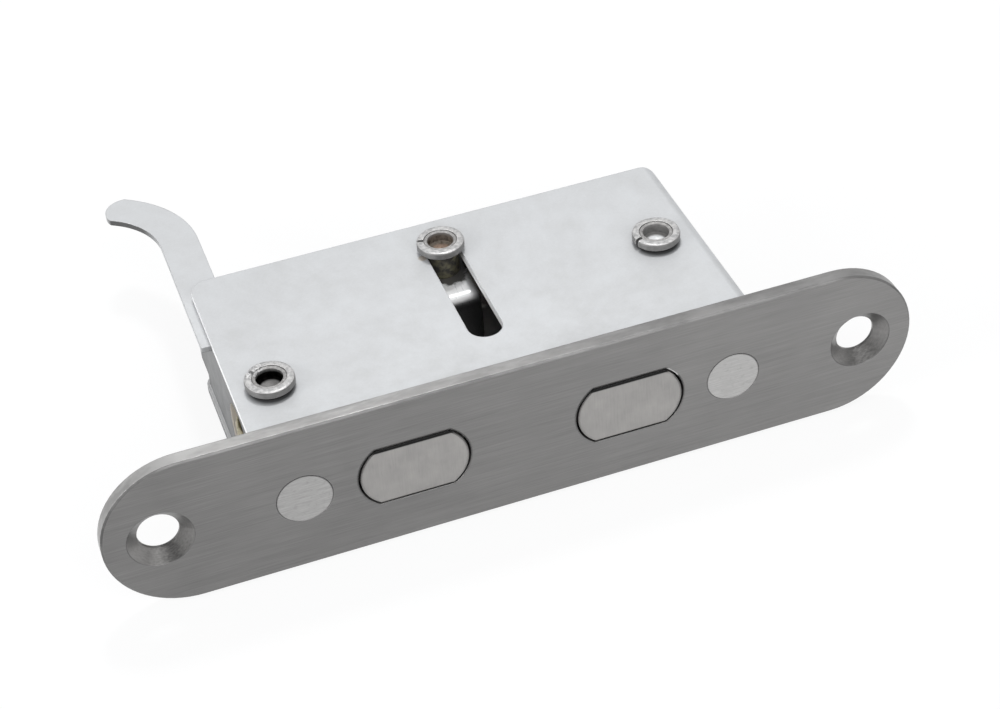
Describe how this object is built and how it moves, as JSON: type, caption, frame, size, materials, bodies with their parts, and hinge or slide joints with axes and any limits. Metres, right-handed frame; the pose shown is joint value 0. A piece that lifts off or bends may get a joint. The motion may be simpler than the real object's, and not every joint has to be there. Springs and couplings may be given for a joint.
{
  "type": "auxiliary door lock",
  "caption": "Mortise auxiliary door lock: stadium face plate, flat folded-sheet case, flush oblong bolts and a hook lever that slides them out together.",
  "frame": {"origin": "centre of the face plate's front face, midway between its two screw holes", "axes": "+X along the face plate, to the right when the front faces the viewer and the cover is on top; +Y from the face plate into the door; +Z out through the cover"},
  "size_m": [0.11, 0.0639, 0.0226],
  "materials": {
    "satin_steel": "satin, brushed along its length",
    "stud_steel": "ground flush",
    "bolt_steel": "satin",
    "zinc_sheet": "zinc plated, slightly cloudy",
    "bright_sheet": "bright zinc plated",
    "post_steel": "turned, dull",
    "ring_steel": "bright",
    "dark_washer": "matt dark grey",
    "brass": "plain",
    "gold_wire": "golden passivated wire"
  },
  "bodies": {
    "housing": {"face_plate": "satin_steel", "left_stud": "stud_steel", "right_stud": "stud_steel", "chassis": "zinc_sheet", "cover": "zinc_sheet", "pivot_post": "post_steel", "pivot_washer": "dark_washer", "pivot_ring": "ring_steel", "pivot_bush": "brass", "return_spring": "gold_wire", "support_post": "post_steel", "support_washer": "dark_washer", "support_ring": "ring_steel"},
    "carriage": {"left_bolt": "bolt_steel", "right_bolt": "bolt_steel", "bolt_carrier": "bright_sheet", "left_bolt_rivet": "bright_sheet", "right_bolt_rivet": "bright_sheet", "guide_pin": "post_steel", "guide_washer": "dark_washer", "guide_ring": "ring_steel", "drive_pin": "post_steel"},
    "lever": {"hook_lever": "zinc_sheet"}
  },
  "joints": [
    {"name": "bolt_throw", "type": "slide", "parent": "housing", "child": "carriage", "axis": [0, -1, 0], "range_m": [0, 0.018]},
    {"name": "lever_turn", "type": "hinge", "parent": "housing", "child": "lever", "pos_m": [-0.029, 0.0133, 0.0063], "axis": [0, 0, -1], "range_deg": [0, 48.6], "stiffness_Nm_per_rad": 0.0044, "springref_deg": -17.19, "deforming": ["return_spring"]}
  ],
  "couplings": [
    {"joint": "lever_turn", "follows": "bolt_throw", "rad_per_m": 46.908}
  ]
}
